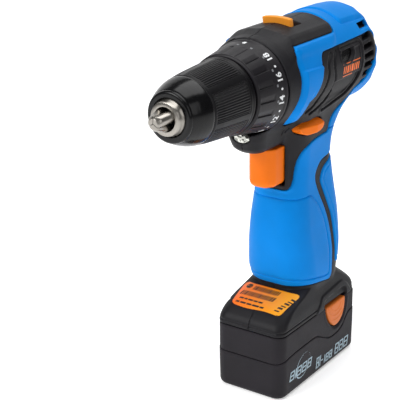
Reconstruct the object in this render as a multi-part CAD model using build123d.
from build123d import *
import math
import os

# Cordless drill/driver. Millimetres. +Z up, chuck towards -Y, origin at the centre of the
# battery's flat underside. Everything that turns with the chuck shares one axis along Y.

# ---------------------------------------------------------------- driving dimensions
AXIS_Z = 222.0            # height of the chuck and motor axis

BATTERY_W = 54.0
BATTERY_L = 106.0
BATTERY_H = 48.0
BATTERY_CORNER_R = 8.0
BATTERY_SPLIT_Z = 27.5    # joint between the battery case and its cover
BATTERY_WALL = 2.2
CELL_R = 9.2              # 18650 cell
CELL_L = 65.0
STEM_TOP_Z = 117.5        # the stem holds one cell upright inside the handle
STEM_X = 24.0
STEM_Y = 25.0
STEM_CY = 8.0
BATTERY_SCREW_X = 21.0
BATTERY_SCREW_Y = 47.0

SEAM_GAP = 0.3            # battery to housing, and other parts that slide past each other
WALL = 2.6                # housing wall
COVER_T = 1.8             # thickness of the blue covers

BARREL_RX = 33.0
BARREL_RZ = 34.5
BARREL_CZ = AXIS_Z + 0.5
BARREL_FRONT = -54.0
BARREL_REAR = 71.0
BARREL_EDGE_R = 8.0

MODULE = 1.0              # all gear stages share one set of tooth counts
SUN_TEETH = 12
PLANET_TEETH = 12
RING_TEETH = 36
PLANETS = 3
PLANET_ORBIT = MODULE * (SUN_TEETH + PLANET_TEETH) / 2
RING_OUTER_R = 21.5
TOOTH_HALF = 0.195        # half a tooth's thickness at the pitch circle, as a share of the pitch
PRESSURE_ANGLE = 20.0
PIN_R = 2.0
CARRIER_R = 16.4

CHUCK_AXIS_FRONT = -156.0  # where the three jaw axes meet on the chuck axis
JAW_ANGLE = 15.0
JAW_R = 3.7
JAW_TIP_D = 2.5           # axial distances from CHUCK_AXIS_FRONT
JAW_REAR_D = 45.0
JAW_BORE_D = (8.0, 70.5)  # the slanted bores in the chuck body, from front to rear
JAWS = 3

COLLAR_FRONT_Y = -81.0
COLLAR_REAR_Y = -55.8
COLLAR_FRONT_R = 28.0
COLLAR_REAR_R = 31.7

TRIGGER_X = 10.5          # half width
TRIGGER_Z = (147.0, 176.0)
TRIGGER_FRONT_Y = -42.0
TRIGGER_BACK_Y = -23.0

# handle sections from the foot up: z, half width, front y, rear y, corner radius
HANDLE = [(71.0, 25.6, -20.5, 38.5, 19.0), (80.0, 25.5, -23.7, 39.8, 19.0),
          (92.0, 25.0, -25.0, 41.7, 19.0), (105.0, 23.5, -26.2, 42.3, 18.0),
          (120.0, 22.0, -25.6, 41.2, 17.0), (135.0, 20.5, -23.7, 38.4, 16.0),
          (150.0, 20.0, -22.6, 34.5, 15.0), (165.0, 20.5, -22.3, 31.1, 15.0),
          (182.0, 23.0, -26.0, 33.0, 16.0), (200.0, 26.0, -34.0, 46.0, 18.0)]
FOOT = [(BATTERY_H + SEAM_GAP, 27.0, -53.0, 53.0, 8.0), (54.0, 26.6, -52.0, 52.5, 8.0),
        (62.0, 25.2, -43.0, 46.5, 10.0), (72.0, 23.0, -20.0, 38.0, 14.0)]

SCREWS = [(24.0, 247.0), (60.0, 243.0), (11.0, 196.5), (58.0, 199.0), (29.0, 172.0),
          (-17.0, 128.0), (32.0, 100.0), (-38.0, 57.5), (42.0, 57.0)]   # y, z
SCREW_HEAD_X = -13.0      # the heads seat this far from the middle plane, on the -X side
SCREW_END_X = 9.0


# ---------------------------------------------------------------- helpers
def lathe(profile):
    """Solid of revolution about the chuck axis from (y, r) points."""
    outline = Polyline(*[(r, y) for y, r in profile], close=True)
    return Pos(0, 0, AXIS_Z) * revolve(make_face(outline), Axis.Y)


def tube(y0, y1, r_out, r_in=0.0):
    """Ring or disc on the chuck axis between two y values."""
    if r_in <= 0:
        return lathe([(y0, 0), (y0, r_out), (y1, r_out), (y1, 0)])
    return lathe([(y0, r_in), (y0, r_out), (y1, r_out), (y1, r_in)])


def box(x0, x1, y0, y1, z0, z1):
    size = (x1 - x0, y1 - y0, z1 - z0)
    return Pos((x0 + x1) / 2, (y0 + y1) / 2, (z0 + z1) / 2) * Box(*size)


def rod_x(x0, x1, y, z, r):
    return Pos((x0 + x1) / 2, y, z) * Rot(0, 90, 0) * Cylinder(r, x1 - x0)


def rod_y(x, y0, y1, z, r):
    return Pos(x, (y0 + y1) / 2, z) * Rot(90, 0, 0) * Cylinder(r, y1 - y0)


def rod_z(x, y, z0, z1, r):
    return Pos(x, y, (z0 + z1) / 2) * Cylinder(r, z1 - z0)


def rounded_block(half_x, y0, y1, z0, z1, corner):
    """Upright block with rounded vertical corners."""
    flat = Pos(0, (y0 + y1) / 2, z0) * RectangleRounded(2 * half_x, y1 - y0, corner)
    return extrude(flat, z1 - z0)


def section_loft(sections, inset=0.0):
    """Loft through rounded rectangles (z, half width, front, rear, corner radius)."""
    faces = []
    for z, half_x, front, rear, corner in sections:
        corner = max(corner - inset, 2.0)
        flat = RectangleRounded(2 * (half_x - inset), rear - front - 2 * inset, corner)
        faces.append(Pos(0, (front + rear) / 2, z) * flat)
    return loft(faces)


def side_prism(points, half_x=60.0):
    """A side view outline of (y, z) points, extruded through both sides."""
    outline = Polyline(*points, close=True)
    flat = Plane.YZ * make_face(outline)
    return extrude(flat, half_x, both=True)


def toothed_flat(teeth, low, high, half_width, turn=0.0):
    """Straight sided teeth between two heights from the pitch circle, in modules."""
    pitch_r = MODULE * teeth / 2
    slope = math.tan(math.radians(PRESSURE_ANGLE))
    points = []
    for k in range(teeth):
        mid = 2 * math.pi * (k + turn) / teeth
        for side, height in ((-1, low), (-1, high), (1, high), (1, low)):
            r = pitch_r + height * MODULE
            width = (half_width * math.pi - height * slope) * MODULE
            a = mid + side * width / r
            points.append((r * math.cos(a), r * math.sin(a)))
    return make_face(Polyline(*points, close=True))


def gear_flat(teeth):
    return toothed_flat(teeth, -1.15, 0.85, TOOTH_HALF)


def ring_flat():
    """Ring whose inward teeth are what is left between outward tooth spaces."""
    spaces = toothed_flat(RING_TEETH, -0.8, 1.15, 0.5 - TOOTH_HALF, turn=0.5)
    return Circle(RING_OUTER_R) - spaces


def on_axis(flat, y0, y1, turn=0.0, x=0.0, z=0.0):
    """Extrude a flat along +Y from y0 to y1, centred at (x, z) from the chuck axis."""
    plane = Plane(origin=(x, y0, AXIS_Z + z), x_dir=(1, 0, 0), z_dir=(0, 1, 0))
    return extrude(plane * (Rot(0, 0, turn) * flat), y1 - y0)


def around(angle, radius):
    """Offset (x, z) from the chuck axis at an angle about +Y."""
    a = math.radians(angle)
    return radius * math.cos(a), -radius * math.sin(a)


def coil(radius, wire_r, length, turns):
    """Compression spring along +Z from z = 0, as one swept helix."""
    path = Helix(pitch=(length - 2 * wire_r) / turns, height=length - 2 * wire_r, radius=radius)
    start = Plane(origin=path @ 0, z_dir=path % 0)
    return Pos(0, 0, wire_r) * sweep(start * Circle(wire_r), path=path, is_frenet=True)


# ---------------------------------------------------------------- outer envelope
def envelope(inset=0.0):
    """The outside of the housing, or the same shape moved inwards."""
    i = inset
    barrel = Plane(origin=(0, BARREL_FRONT, BARREL_CZ), x_dir=(1, 0, 0), z_dir=(0, 1, 0)) \
        * Ellipse(BARREL_RX - i, BARREL_RZ - i)
    solid = extrude(barrel, BARREL_REAR - i - BARREL_FRONT)
    solid = fillet(solid.edges().group_by(Axis.Y)[-1], BARREL_EDGE_R - i * 0.8)
    hump = box(-20 + i, 20 - i, BARREL_FRONT, 14 - i, AXIS_Z, 253.5 - i)
    hump = fillet(hump.edges().filter_by(Axis.Y).group_by(Axis.Z)[-1], 4.0)
    nose = rounded_block(15.5 - i, -63 + i, -10, 176.5 + i, 205, 9)
    nose = fillet(nose.edges().group_by(Axis.Z)[0], 3.0)
    nose -= tube(-90, BARREL_FRONT, COLLAR_REAR_R + 0.7 + i)
    return solid + hump + nose + section_loft(HANDLE, i) + section_loft(FOOT, i)


UPPER_BLUE = [(-35, 257.8 + 6), (-15, 251), (2, 248), (-1, 244), (-38, 242), (-30, 232), (-27, 222),
              (-30, 213), (-44, 203), (-40, 200), (-30, 203), (-18, 211), (-8, 218), (-4, 226),
              (-4, 235), (58, 237), (64, 230), (66, 222), (63, 213), (55, 208), (35, 203),
              (20, 199), (28, 180), (60, 180), (90, 200), (90, 270), (-35, 270)]
GRIP_BLUE = [(-60, 146), (-24, 146), (-14, 146), (-8, 150), (-4, 160), (2, 170), (12, 177),
             (28, 180), (60, 180), (60, 168), (14, 160), (8, 150), (10, 138), (18, 125),
             (27, 108), (31, 90), (31, 72), (-60, 72)]
PALM_BLUE = [(60, 164), (20, 159), (14, 148), (22, 130), (33, 108), (35.5, 90), (35, 78), (60, 78)]


def blue_skin(points, outer, inner):
    return (outer & side_prism(points)) - inner


# ---------------------------------------------------------------- housing and covers
def make_housing():
    outer = envelope()
    under_cover = envelope(COVER_T)
    skins = [blue_skin(p, outer, under_cover) for p in (UPPER_BLUE, GRIP_BLUE, PALM_BLUE)]
    handle_room = section_loft(HANDLE, WALL + COVER_T)
    foot_room = section_loft([(BATTERY_H - 1, 24.0, -50, 50, 8), (56.0, 23.5, -48, 48, 8),
                              (66.0, 21.0, -33, 38, 8), (74.0, 19.0, -14, 33, 8)])
    barrel_flat = Plane(origin=(0, -51, BARREL_CZ), x_dir=(1, 0, 0), z_dir=(0, 1, 0)) \
        * Ellipse(BARREL_RX - WALL - COVER_T, BARREL_RZ - WALL - COVER_T)
    room = extrude(barrel_flat, 118) + handle_room + foot_room
    room += box(-12, 12, -60, -20, 180, 200)
    shell = outer - room
    shell += (outer & ribs_and_bosses())
    shell -= openings()
    for skin in skins:
        shell -= skin
    skins = [skin - openings() for skin in skins]
    return shell, skins


def ribs_and_bosses():
    """Motor and gearbox seats, and a boss around every housing screw."""
    solid = None
    for y in (20.0, 44.0, 62.5):
        seat = tube(y, y + 3, 32.5, 18.0)
        solid = seat if solid is None else solid + seat
    solid += tube(-38, -34, 32.5, 24.0) + tube(-4, 0, 32.5, 24.0)
    for y, z in SCREWS:
        solid += rod_x(-26, 26, y, z, 3.6)
    return solid


def openings():
    """Everything cut through the housing: motor room, screw holes, vents, slots."""
    cut = tube(-55, -50, 27.5) + tube(BARREL_FRONT + 2, 8, 24.0) + tube(7.9, 62.5, 18.0)
    cut += tube(62.4, 66, 17.0)
    for y, z in SCREWS:
        cut += rod_x(-60, SCREW_HEAD_X, y, z, 3.1)
        cut += rod_x(SCREW_HEAD_X - 1, SCREW_END_X, y, z, 1.5)
    for k in range(6):
        cut += box(-60, 60, 45, 58, 207.5 + 5.4 * k, 209.9 + 5.4 * k)
    cut += box(-TRIGGER_X - 0.4, TRIGGER_X + 0.4, -60, -16, TRIGGER_Z[0] - 0.5, TRIGGER_Z[1] + 0.4)
    cut += box(-8, 8, -17, 26, 147, 177)
    cut += box(-60, 60, -28.6, 0.6, 183.6, 191.9)
    cut += box(-11.2, 11.2, -19.5, -4.5, 246, 270)
    cut += box(-10.5, 10.5, -30, -4, 246, 249.2)
    cut += box(-6.4, 6.4, -70, -50, 182.6, 187.8)
    cut += rounded_block(STEM_X / 2 + 0.5, STEM_CY - STEM_Y / 2 - 0.5, STEM_CY + STEM_Y / 2 + 0.5,
                         40, STEM_TOP_Z + 0.5, 6)
    return cut


def split_sides(solid):
    left = solid & box(0, 70, -80, 100, 0, 300)
    right = solid & box(-70, 0, -80, 100, 0, 300)
    return left, right


def housing_screw(y, z):
    head = rod_x(SCREW_HEAD_X - 2.2, SCREW_HEAD_X, y, z, 2.8)
    head -= box(SCREW_HEAD_X - 2.3, SCREW_HEAD_X - 1.2, y - 1.6, y + 1.6, z - 0.35, z + 0.35)
    head -= box(SCREW_HEAD_X - 2.3, SCREW_HEAD_X - 1.2, y - 0.35, y + 0.35, z - 1.6, z + 1.6)
    return head + rod_x(SCREW_HEAD_X, SCREW_END_X - 0.5, y, z, 1.5)


def light_lens():
    return box(-6.4, 6.4, -62.6, -52, 182.6, 187.8)


# ---------------------------------------------------------------- motor
def make_motor():
    parts = {}
    can = lathe([(5, 5.2), (5, 6.5), (8, 6.5), (8, 18), (60, 18), (60, 16.5), (9.5, 16.5),
                 (9.5, 5.2)])
    for side in (-1, 1):
        can -= Pos(side * 18, 30, AXIS_Z) * Box(4, 12, 5)
    parts["motor_can"] = can
    ring = tube(16, 46, 16.5, 13.0)
    parts["motor_magnets"] = ring - box(-30, 30, 10, 50, AXIS_Z - 3, AXIS_Z + 3)
    cap = tube(57, 62, 16.5, 5.2) + tube(50, 57, 16.5, 14.0)
    parts["motor_end_cap"] = cap
    parts["motor_bearings"] = Part() + [tube(5.2, 9.2, 5.2, 1.63), tube(57.5, 61.5, 5.2, 1.63)]
    parts["motor_brushes"] = Part() + [box(s * 9.5 - 4.1, s * 9.5 + 4.1, 50, 54.5,
                                           AXIS_Z - 2.5, AXIS_Z + 2.5) for s in (-1, 1)]
    parts["motor_shaft"] = tube(0, 63.5, 1.6) + on_axis(gear_flat(SUN_TEETH), STAGE_Y[0][0], 2.0)
    parts["armature_core"] = armature()
    parts["armature_windings"] = tube(14.5, 18, 11.2, 1.6) + tube(44, 47, 10.6, 1.6)
    parts["commutator"] = commutator()
    return parts


def armature():
    core = tube(18, 44, 12.2, 1.6)
    for k in range(5):
        slot = Pos(10.2, 31, 0) * Box(5.0, 30, 2.4)
        core -= Pos(0, 0, AXIS_Z) * Rot(0, 72 * k, 0) * slot
    return core


def commutator():
    solid = tube(48, 56, 5.2, 1.6)
    for k in range(5):
        slit = Pos(5.0, 52, 0) * Box(1.6, 10, 0.5)
        solid -= Pos(0, 0, AXIS_Z) * Rot(0, 72 * k + 36, 0) * slit
    return solid


# ---------------------------------------------------------------- gearbox
STAGE_Y = [(-5.5, 1.0), (-18.5, -12.0), (-31.0, -24.5)]     # planet gears of each stage
CARRIER_Y = [(-10.0, -7.0), (-22.5, -19.5), (-36.0, -32.0)]
RING_Y = [(-5.8, 1.3), (-19.3, -12.0), (-37.0, -24.0)]
FIRST_PLANET = 30.0       # degrees about +Y


def planet(stage, k):
    angle = FIRST_PLANET + 360 / PLANETS * k
    x, z = around(angle, PLANET_ORBIT)
    y0, y1 = STAGE_Y[stage]
    flat = gear_flat(PLANET_TEETH) - Circle(PIN_R + 0.05)
    return on_axis(flat, y0, y1, turn=180 / PLANET_TEETH, x=x, z=z)


def carrier(stage):
    """Disc with the planet pins behind it."""
    y0, y1 = CARRIER_Y[stage]
    solid = tube(y0, y1, CARRIER_R)
    for k in range(PLANETS):
        x, z = around(FIRST_PLANET + 360 / PLANETS * k, PLANET_ORBIT)
        solid += rod_y(x, y1, STAGE_Y[stage][1] - 0.2, AXIS_Z + z, PIN_R)
    return solid


def sun_carrier(stage):
    """Carrier with the next stage's sun gear in front."""
    return carrier(stage) + on_axis(gear_flat(SUN_TEETH), STAGE_Y[stage + 1][0], CARRIER_Y[stage][0])


def ring_gear(stage):
    y0, y1 = RING_Y[stage]
    teeth_y0 = STAGE_Y[stage][0] - 0.3 if stage == 2 else y0
    solid = on_axis(ring_flat(), teeth_y0, y1)
    if stage == 2:
        solid += tube(y0, teeth_y0, RING_OUTER_R, CARRIER_R + 1.2)
    if stage == 1:
        solid -= tube(-16.6, -14.7, RING_OUTER_R + 1, RING_OUTER_R - 1.2)
    return solid


def make_gearbox():
    parts = {}
    case = lathe([(4, 23.8), (-44, 23.8), (-44, 15), (-76, 15), (-76, 12.1), (-66, 12.1),
                  (-66, 6.05), (-37.6, 6.05), (-37.6, RING_OUTER_R + 0.05),
                  (4, RING_OUTER_R + 0.05)])
    for k in range(6):
        x, z = around(60 * k, 19.3)
        case -= rod_y(x, -45, -37, AXIS_Z + z, 2.05)
    case -= box(-4, 4, -17.5, -7.5, AXIS_Z + 15, AXIS_Z + 30)
    for side in (-1, 1):
        case -= box(side * 22.6 - 3, side * 22.6 + 3, -17.6, -8.5, AXIS_Z - 3, AXIS_Z + 3)
    parts["gearbox_case"] = case
    plate = tube(4, 7.8, 23.8, 6.6)
    parts["motor_plate"] = plate
    pins = Part()
    for k in range(6):
        x, z = around(60 * k, 19.3)
        pins += rod_y(x, -44.95, -37.1, AXIS_Z + z, 2.0)
    parts["clutch_pins"] = pins
    parts["clutch_nut"] = clutch_nut()
    spring = coil(19.0, 1.4, 17.8, 4.5)
    parts["clutch_spring"] = Pos(0, -63, AXIS_Z) * Rot(-90, 0, 0) * spring
    parts["spindle_bearing"] = tube(-74.5, -66.1, 12.05, 6.05)
    for stage in range(3):
        parts["ring_gear_%d" % (stage + 1)] = ring_gear(stage)
        if stage < 2:
            parts["planet_carrier_%d" % (stage + 1)] = sun_carrier(stage)
        for k in range(PLANETS):
            parts["planet_gear_%d%s" % (stage + 1, "abc"[k])] = planet(stage, k)
    parts["output_spindle"] = spindle()
    return parts


def spindle():
    """Last carrier and the shaft that the chuck screws onto."""
    shaft = lathe([(-35, 0), (-35, 6.0), (-77.5, 6.0), (-77.5, 7.4), (-79.5, 7.4), (-79.5, 6.4),
                   (-103.5, 6.4), (-103.5, 0)])
    return carrier(2) + shaft - tube(-104, -92, 2.6)


def clutch_nut():
    ring = tube(-68, -63.2, 22.6, 15.3)
    for k in range(6):
        ring += Pos(0, 0, AXIS_Z) * Rot(0, 60 * k, 0) * Pos(22.6, -65.6, 0) * Box(3.2, 4.8, 4.0)
    return ring


def torque_collar():
    solid = lathe([(COLLAR_FRONT_Y, 15.8), (COLLAR_FRONT_Y, COLLAR_FRONT_R - 0.6),
                   (COLLAR_FRONT_Y + 0.6, COLLAR_FRONT_R), (COLLAR_REAR_Y, COLLAR_REAR_R),
                   (COLLAR_REAR_Y, 27.0), (COLLAR_FRONT_Y + 3, 25.0), (COLLAR_FRONT_Y + 3, 15.8)])
    for k in range(6):
        key = Pos(0, 0, AXIS_Z) * Rot(0, 60 * k, 0) * Pos(25.6, -68.5, 0)
        solid += key * Pos(0, 0, 3.6) * Box(3.4, 19, 1.4)
        solid += key * Pos(0, 0, -3.6) * Box(3.4, 19, 1.4)
    for k in range(18):
        groove = Pos(COLLAR_FRONT_R + 1.7, -74.6, 0) * Rot(0, 0, -8.3) * Box(1.6, 13, 3.2)
        solid -= Pos(0, 0, AXIS_Z) * Rot(0, 20 * k + 10, 0) * groove
    return solid


# ---------------------------------------------------------------- chuck
def jaw_place(k):
    """Frame whose +Z runs back along jaw k's axis from where the three axes meet."""
    turn = Rot(0, 90 + 360 / JAWS * k, 0)
    return Pos(0, CHUCK_AXIS_FRONT, AXIS_Z) * turn * Rot(0, 0, -JAW_ANGLE) * Rot(-90, 0, 0)


def jaw_rod(k, radius, d0, d1):
    """Cylinder along jaw k's axis between two axial distances."""
    c = math.cos(math.radians(JAW_ANGLE))
    return jaw_place(k) * Pos(0, 0, (d0 + d1) / 2 / c) * Cylinder(radius, (d1 - d0) / c)


def jaw(k):
    y_tip = CHUCK_AXIS_FRONT + JAW_TIP_D
    solid = jaw_rod(k, JAW_R, -10, JAW_REAR_D)
    solid &= lathe([(y_tip, 0), (y_tip, 2.6), (y_tip + 3.2, 5.2), (y_tip + 7, 8), (-80, 30), (-80, 0)])
    gap = 0.25
    half = 180 / JAWS
    wedge = make_face(Polyline((gap, 0), (60, 60 * math.tan(math.radians(half)) - gap),
                               (60, -60 * math.tan(math.radians(half)) + gap), close=True))
    solid &= on_axis(wedge, y_tip - 1, -80, turn=90 + 360 / JAWS * k)
    return solid


def make_chuck():
    parts = {}
    body = lathe([(-142.3, 7.6), (-142.3, 10.0), (-141.7, 10.6), (-137.8, 11.6), (-129, 16.6),
                  (-122, 19.0), (-113.2, 19.0), (-113.2, 17.8), (-105.8, 17.8), (-105.8, 19.0),
                  (-83.6, 19.0), (-83.6, 6.42), (-103.5, 6.42), (-103.5, 2.65), (-110, 2.65),
                  (-110, 5.0), (-114, 5.0), (-114, 7.6)])
    for k in range(JAWS):
        body -= jaw_rod(k, JAW_R + 0.25, *JAW_BORE_D)
    parts["chuck_body"] = body
    screw = tube(-113.6, -110.05, 4.6) + tube(-110.05, -93, 2.58)
    parts["chuck_screw"] = screw - tube(-114, -112, 1.5)
    nut = tube(-113.0, -106.0, 20.4, 18.0)
    for k in range(JAWS):
        nut -= jaw_rod(k, JAW_R + 0.3, *JAW_BORE_D)
    parts["chuck_nut"] = nut
    parts["chuck_sleeve"] = chuck_sleeve()
    parts["chuck_nose_cap"] = lathe([(-138.2, 12.2), (-138.2, 15.2), (-137.6, 15.9), (-133, 18.1),
                                     (-127, 20.2), (-121.4, 21.4), (-121.4, 19.3), (-129.2, 17.0)])
    for k in range(JAWS):
        parts["chuck_jaw_%d" % (k + 1)] = jaw(k)
    return parts


def chuck_sleeve():
    solid = lathe([(-121.2, 19.3), (-121.2, 21.4), (-112, 22.6), (-92, 24.0), (-84, 24.4),
                   (-83.4, 23.9), (-83.4, 22.6), (-104.8, 22.2), (-104.8, 20.5), (-114, 20.5),
                   (-114, 19.3)])
    for k in range(36):
        if k % 6 == 5:
            continue
        groove = Pos(23.6, -101.5, 0) * Rot(0, 0, -4.2) * Box(1.4, 26, 1.0)
        solid -= Pos(0, 0, AXIS_Z) * Rot(0, 10 * k, 0) * groove
    return solid


# ---------------------------------------------------------------- controls
def gear_selector():
    """Thumb bar across the top, on a plate that slides in the housing's slot."""
    bar = box(-10.6, 10.6, -18.5, -14.5, 252.0, 260.4)
    bar = fillet(bar.edges().filter_by(Axis.Y).group_by(Axis.Z)[-1], 2.5)
    plate = box(-10.2, 10.2, -18.5, -10.5, 249.6, 252.0)
    return bar + plate


def shift_fork():
    """Bent wire bridge from the selector down to the groove of the second ring gear."""
    half = tube(-16.4, -14.9, 24.9, 23.95) & box(-40, 40, -20, -10, AXIS_Z - 2.0, AXIS_Z + 40)
    top = box(-1.5, 1.5, -16.4, -14.9, AXIS_Z + 24.2, 249.6)
    pins = box(-24.9, -20.5, -16.4, -14.9, AXIS_Z - 2.0, AXIS_Z + 0.5)
    pins += box(20.5, 24.9, -16.4, -14.9, AXIS_Z - 2.0, AXIS_Z + 0.5)
    return half + top + pins


def trigger():
    z0, z1 = TRIGGER_Z
    body = rounded_block(TRIGGER_X, TRIGGER_FRONT_Y, TRIGGER_BACK_Y, z0, z1, 5.0)
    body -= Pos(0, TRIGGER_FRONT_Y - 54, (z0 + z1) / 2 - 2) * Rot(0, 90, 0) * Cylinder(56.5, 60)
    stem = box(-5.5, 5.5, TRIGGER_BACK_Y, -11.5, 153, 171)
    stem -= rod_y(0, -16, -11, 162, 3.4)
    return body + stem


def trigger_switch():
    body = box(-7.6, 7.6, -4.0, 22.0, 149.0, 176.5)
    return body + rod_y(0, -6.5, -4, 162, 1.2)


def direction_switch():
    points = [(-26.5, 188.0), (-21, 184.4), (-5, 184.4), (-1.5, 188.0), (-6, 191.2), (-20, 191.2)]
    return side_prism(points, 26.5)


# ---------------------------------------------------------------- battery
def battery_block(z0, z1, inset=0.0):
    solid = rounded_block(BATTERY_W / 2 - inset, -BATTERY_L / 2 + inset, BATTERY_L / 2 - inset,
                          z0, z1, BATTERY_CORNER_R - inset)
    return solid


def button_outline(grow=0.0):
    """Side view of a release button: flat top, rounded below."""
    g = grow
    top, left, right, low = 46.2 + g, 9.0 - g, 37.2 + g, 26.0 - g
    mid = (left + right) / 2
    arc = ThreePointArc((left, 38.0), (mid, low), (right, 38.0))
    lines = Polyline((right, 38.0), (right, top), (left, top), (left, 38.0))
    return make_face([*arc.edges(), *lines.edges()])


def release_button(side):
    x_in, x_out = 23.0, 27.9
    solid = extrude(Plane.YZ.offset(x_in) * button_outline(-0.35), x_out - 0.5 - x_in)
    solid += extrude(Plane.YZ.offset(x_in) * button_outline(-0.9), x_out - x_in)
    for r in (8.0, 12.0):
        ridge = Plane.YZ.offset(x_out - 0.2) * (Pos(23.0, 45) * (Circle(r + 0.7) - Circle(r - 0.7)))
        solid += extrude(ridge, 0.7) & extrude(Plane.YZ.offset(x_in) * button_outline(-2.0), 9)
    solid += box(20.6, 22.9, 17, 32, 38, 50) + box(22.8, 23.1, 17, 32, 38, 44)
    if side < 0:
        solid = mirror(solid, Plane.YZ)
    return solid


def make_battery():
    parts = {}
    case = battery_block(0, BATTERY_SPLIT_Z)
    case = fillet(case.edges().group_by(Axis.Z)[0], 3.5)
    case -= battery_block(BATTERY_WALL, BATTERY_SPLIT_Z + 1, BATTERY_WALL)
    cover = battery_block(BATTERY_SPLIT_Z, BATTERY_H)
    cover -= battery_block(BATTERY_SPLIT_Z - 1, BATTERY_H - BATTERY_WALL, BATTERY_WALL)
    stem = rounded_block(STEM_X / 2, STEM_CY - STEM_Y / 2, STEM_CY + STEM_Y / 2, BATTERY_H - 1,
                         STEM_TOP_Z, 6)
    stem_room = rounded_block(STEM_X / 2 - 1.8, STEM_CY - STEM_Y / 2 + 1.8,
                              STEM_CY + STEM_Y / 2 - 1.8, BATTERY_H - 4, STEM_TOP_Z - 1.8, 4.4)
    cover = cover + stem - stem_room
    for x in (-7.0, 0.0, 7.0):
        cover -= box(x - 1.1, x + 1.1, 0, 16, STEM_TOP_Z - 2, STEM_TOP_Z + 1)
    for side in (1, -1):
        pocket = extrude(Plane.YZ.offset(19.8) * button_outline(), 12)
        room = box(17.6, 23.6, 16, 33, 36, BATTERY_H + 2)
        if side < 0:
            pocket, room = mirror(pocket, Plane.YZ), mirror(room, Plane.YZ)
        cover -= pocket + room
        case -= pocket
    screws = Part()
    for x in (-BATTERY_SCREW_X, BATTERY_SCREW_X):
        for y in (-BATTERY_SCREW_Y, BATTERY_SCREW_Y):
            case += rod_z(x, y, 2, BATTERY_SPLIT_Z, 3.2)
            cover += rod_z(x, y, BATTERY_SPLIT_Z, BATTERY_H - 1, 3.2)
            case -= rod_z(x, y, -1, 6, 2.7) + rod_z(x, y, 5, BATTERY_SPLIT_Z + 1, 1.5)
            cover -= rod_z(x, y, BATTERY_SPLIT_Z - 1, 36, 1.5)
            screws += rod_z(x, y, 3.8, 6, 2.6) + rod_z(x, y, 6, 35.5, 1.5)
    parts["battery_case"] = case
    parts["battery_cover"] = cover
    parts["battery_screws"] = screws
    cells = Part()
    for x in (-9.4, 9.4):
        for z in (12.2, 31.0):
            cells += rod_y(x, -44.5, -44.5 + CELL_L, z, CELL_R)
    cells += rod_z(0, STEM_CY, 50.0, 50.0 + CELL_L - 2, CELL_R)
    parts["battery_cells"] = cells
    blades = Part()
    for x in (-7.0, 0.0, 7.0):
        blades += box(x - 0.9, x + 0.9, 2, 14, STEM_TOP_Z - 3.4, STEM_TOP_Z - 2.0)
    parts["battery_contacts"] = blades
    for side, name in ((1, "left"), (-1, "right")):
        parts["release_button_" + name] = release_button(side)
    return parts


# ---------------------------------------------------------------- wiring block and label
def terminal_block():
    body = box(-11, 11, 1, 17, STEM_TOP_Z + 2.0, 130)
    for x in (-7.0, 0.0, 7.0):
        body += box(x - 0.4, x + 0.4, 3, 13, STEM_TOP_Z - 1.6, STEM_TOP_Z + 2.1)
    return body


# ---------------------------------------------------------------- assembly
def build_all():
    parts = {}
    shell, skins = make_housing()
    parts["housing_left"], parts["housing_right"] = split_sides(shell)
    parts["upper_cover"], parts["grip_cover"], parts["palm_pad"] = skins
    parts["housing_screws"] = Part() + [housing_screw(y, z) for y, z in SCREWS]
    parts["light_lens"] = light_lens()
    parts.update(make_motor())
    parts.update(make_gearbox())
    parts["torque_collar"] = torque_collar()
    parts.update(make_chuck())
    parts["gear_selector"] = gear_selector()
    parts["shift_fork"] = shift_fork()
    parts["trigger"] = trigger()
    spring = coil(2.6, 0.45, 9.6, 5)
    parts["trigger_spring"] = Pos(0, -14, 162) * Rot(-90, 0, 0) * spring
    parts["trigger_switch"] = trigger_switch()
    parts["direction_switch"] = direction_switch()
    parts["terminal_block"] = terminal_block()
    parts.update(make_battery())
    return parts


os.makedirs("parts", exist_ok=True)
for node, solid in build_all().items():
    export_step(solid, "parts/%s.step" % node)
    print(node)
